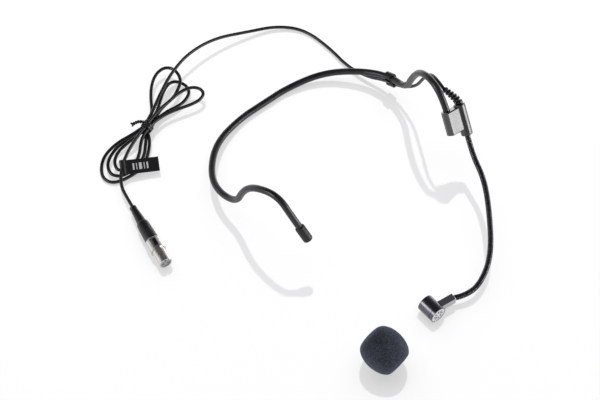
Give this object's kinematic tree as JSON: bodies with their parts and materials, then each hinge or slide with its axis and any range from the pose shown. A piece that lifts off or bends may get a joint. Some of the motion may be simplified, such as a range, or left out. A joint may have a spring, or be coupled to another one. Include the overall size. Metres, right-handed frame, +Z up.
{
  "type": "headset microphone",
  "caption": "Stage headset microphone: sprung neckband with two ear hooks, gooseneck boom with capsule, loose foam windscreen, tied cord and three-pole miniature plug.",
  "frame": {"origin": "On the surface that the headset lies on, at the middle of the box round the headset without its cord.", "axes": "+Z up from that surface; the wearer would face -Y; the boom is on the +X side."},
  "size_m": [0.218, 0.2943, 0.061],
  "materials": {
    "spring_wire": "drawn, satin",
    "tube_black": "satin gloss",
    "cap_black": "satin",
    "clip_black": "satin gloss",
    "holder_black": "satin black lacquer",
    "bush_black": "matt",
    "splice_sleeve": "shrunk sleeve, satin",
    "relief_black": "satin",
    "gooseneck_black": "black, finely ribbed",
    "collar_black": "gloss black lacquer",
    "capsule_black": "gloss black lacquer",
    "grille_silver": "bright, fine satin",
    "mesh_dark": "fine woven mesh",
    "gasket_black": "matt",
    "element_metal": "satin",
    "board_green": "solder mask",
    "lead_copper": "enamelled",
    "foam_charcoal": "open foam, matt",
    "cord_black": "satin",
    "tie_black": "satin",
    "label_black": "satin ribbon",
    "plug_rubber": "satin",
    "plug_chuck": "matt",
    "plug_nickel": "satin nickel",
    "insert_black": "matt",
    "contact_gold": "gold flash",
    "latch_dark": "gloss"
  },
  "bodies": {
    "headset": {"boom_gland": "bush_black", "cord": "cord_black", "cord_hank": "cord_black", "cord_tail": "cord_black", "gooseneck_0": "gooseneck_black", "holder_barrel": "holder_black", "holder_clip": "holder_black", "label_flag": "label_black", "lead_splice": "splice_sleeve", "plug_boot": "plug_rubber", "plug_chuck": "plug_chuck", "plug_contacts": "contact_gold", "plug_handle": "plug_rubber", "plug_insert": "insert_black", "plug_shell": "plug_nickel", "relief_bush": "bush_black", "spring_wire_right": "spring_wire", "strain_relief": "relief_black", "tube_right": "tube_black", "twist_tie": "tie_black"},
    "left_side": {"spring_wire_left": "spring_wire", "tube_left": "tube_black", "end_cap": "cap_black"},
    "cable_clip": {"cable_clip": "clip_black"},
    "boom_1": {"gooseneck_1": "gooseneck_black"},
    "boom_2": {"gooseneck_2": "gooseneck_black"},
    "boom_3": {"gooseneck_3": "gooseneck_black"},
    "boom_4": {"gooseneck_4": "gooseneck_black"},
    "capsule": {"gooseneck_5": "gooseneck_black", "boom_collar": "collar_black", "capsule_housing": "capsule_black", "capsule_grille": "grille_silver", "acoustic_mesh": "mesh_dark", "front_gasket": "gasket_black", "microphone_element": "element_metal", "element_board": "board_green", "capsule_rear_cap": "capsule_black", "capsule_leads": "lead_copper"},
    "windscreen": {"windscreen": "foam_charcoal"},
    "latch": {"plug_latch": "latch_dark"}
  },
  "joints": [
    {"name": "band_spread", "type": "hinge", "parent": "headset", "child": "left_side", "pos_m": [0.0032, 0.1095, 0.0025], "axis": [0, 0, -1], "range_deg": [-4, 18], "stiffness_Nm_per_rad": 0.5},
    {"name": "clip_travel", "type": "hinge", "parent": "headset", "child": "cable_clip", "pos_m": [0.04248, 0.05944, 0.01938], "axis": [-0.1214, -0.2808, -0.9521], "range_deg": [-4, 4]},
    {"name": "boom_turn", "type": "hinge", "parent": "headset", "child": "boom_1", "pos_m": [0.067, -0.03775, 0.02055], "axis": [0, 0, 1], "range_deg": [-15, 15]},
    {"name": "boom_lift", "type": "hinge", "parent": "boom_1", "child": "boom_2", "pos_m": [0.05795, -0.05475, 0.01775], "axis": [-0.4246, 0.9054, 0], "range_deg": [-10, 15]},
    {"name": "boom_turn_middle", "type": "hinge", "parent": "boom_2", "child": "boom_3", "pos_m": [0.04095, -0.07665, 0.0139], "axis": [0, 0, 1], "range_deg": [-15, 15]},
    {"name": "boom_lift_middle", "type": "hinge", "parent": "boom_3", "child": "boom_4", "pos_m": [0.0209, -0.0941, 0.0096], "axis": [0.0247, 0.9997, 0], "range_deg": [-10, 15]},
    {"name": "boom_turn_end", "type": "hinge", "parent": "boom_4", "child": "capsule", "pos_m": [0.0054, -0.0987, 0.007], "axis": [0, 0, 1], "range_deg": [-15, 15]},
    {"name": "windscreen_off", "type": "slide", "parent": "headset", "child": "windscreen", "axis": [0, 0, 1], "range_m": [0, 0.04]},
    {"name": "latch_press", "type": "slide", "parent": "headset", "child": "latch", "axis": [0, 0, -1], "range_m": [0, 0.0007], "stiffness_N_per_m": 600}
  ],
  "couplings": [
    {"joint": "boom_turn_middle", "follows": "boom_turn", "ratio": 1},
    {"joint": "boom_turn_end", "follows": "boom_turn", "ratio": 1},
    {"joint": "boom_lift_middle", "follows": "boom_lift", "ratio": 1}
  ]
}
